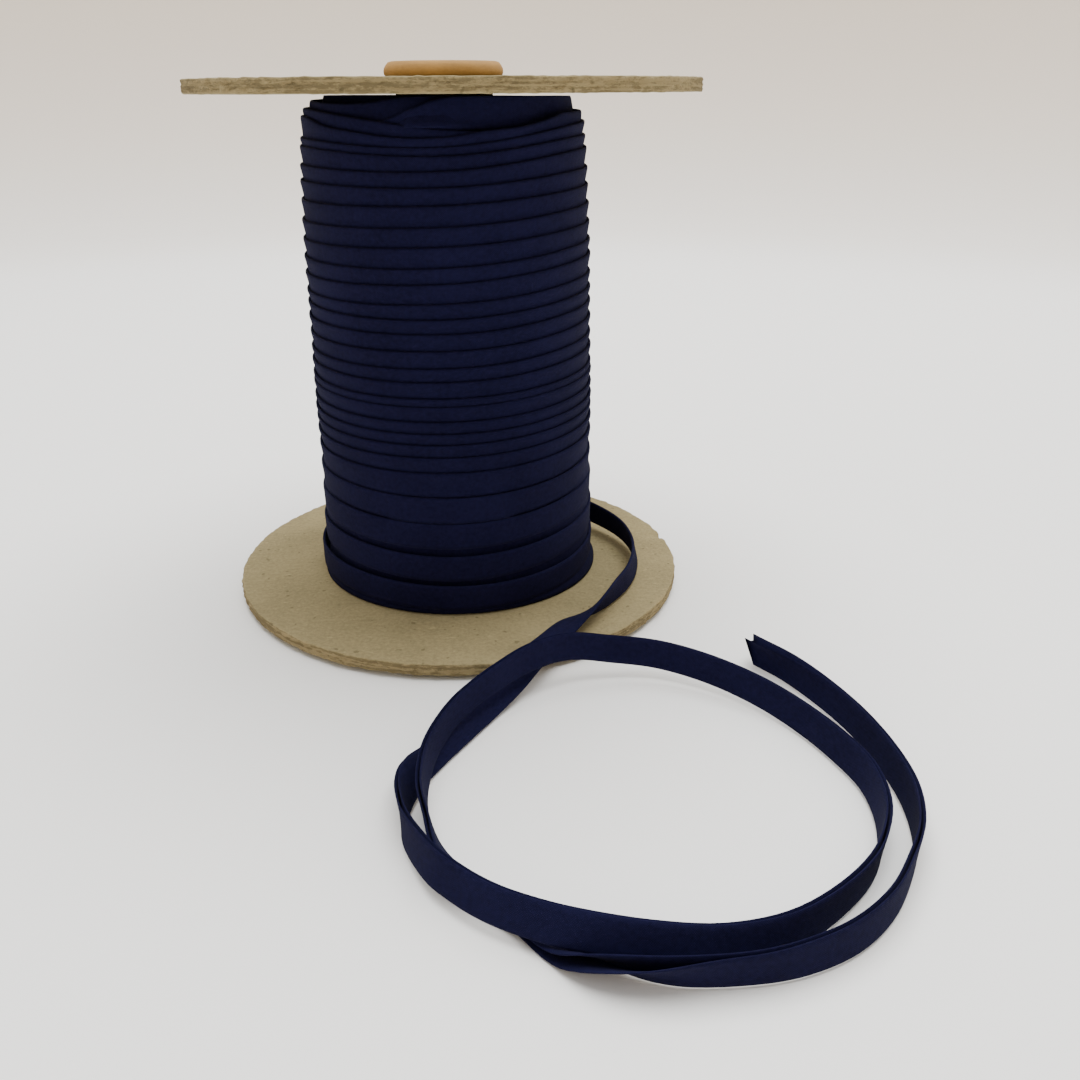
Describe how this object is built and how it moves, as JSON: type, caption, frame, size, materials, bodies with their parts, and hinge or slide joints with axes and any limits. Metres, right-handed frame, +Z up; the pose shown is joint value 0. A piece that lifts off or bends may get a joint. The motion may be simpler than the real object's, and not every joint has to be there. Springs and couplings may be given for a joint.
{
  "type": "roll of bias tape",
  "caption": "Roll of double-fold bias tape wound on a greyboard spool with a rolled paper core, its loose end run out in a ring on the surface.",
  "frame": {"origin": "on the spool's axis, on the plane that the core's lower lip rests on", "axes": "+Z up along the spool's axis, -Y to the front, where the loose tail lies"},
  "size_m": [0.1546, 0.2273, 0.1397],
  "materials": {
    "board": "matte",
    "core": "matte",
    "tape": "matte"
  },
  "bodies": {
    "root": {"bottom_flange": "board", "top_flange": "board", "core_tube": "core", "winding": "tape", "tape_tail": "tape"}
  },
  "joints": []
}
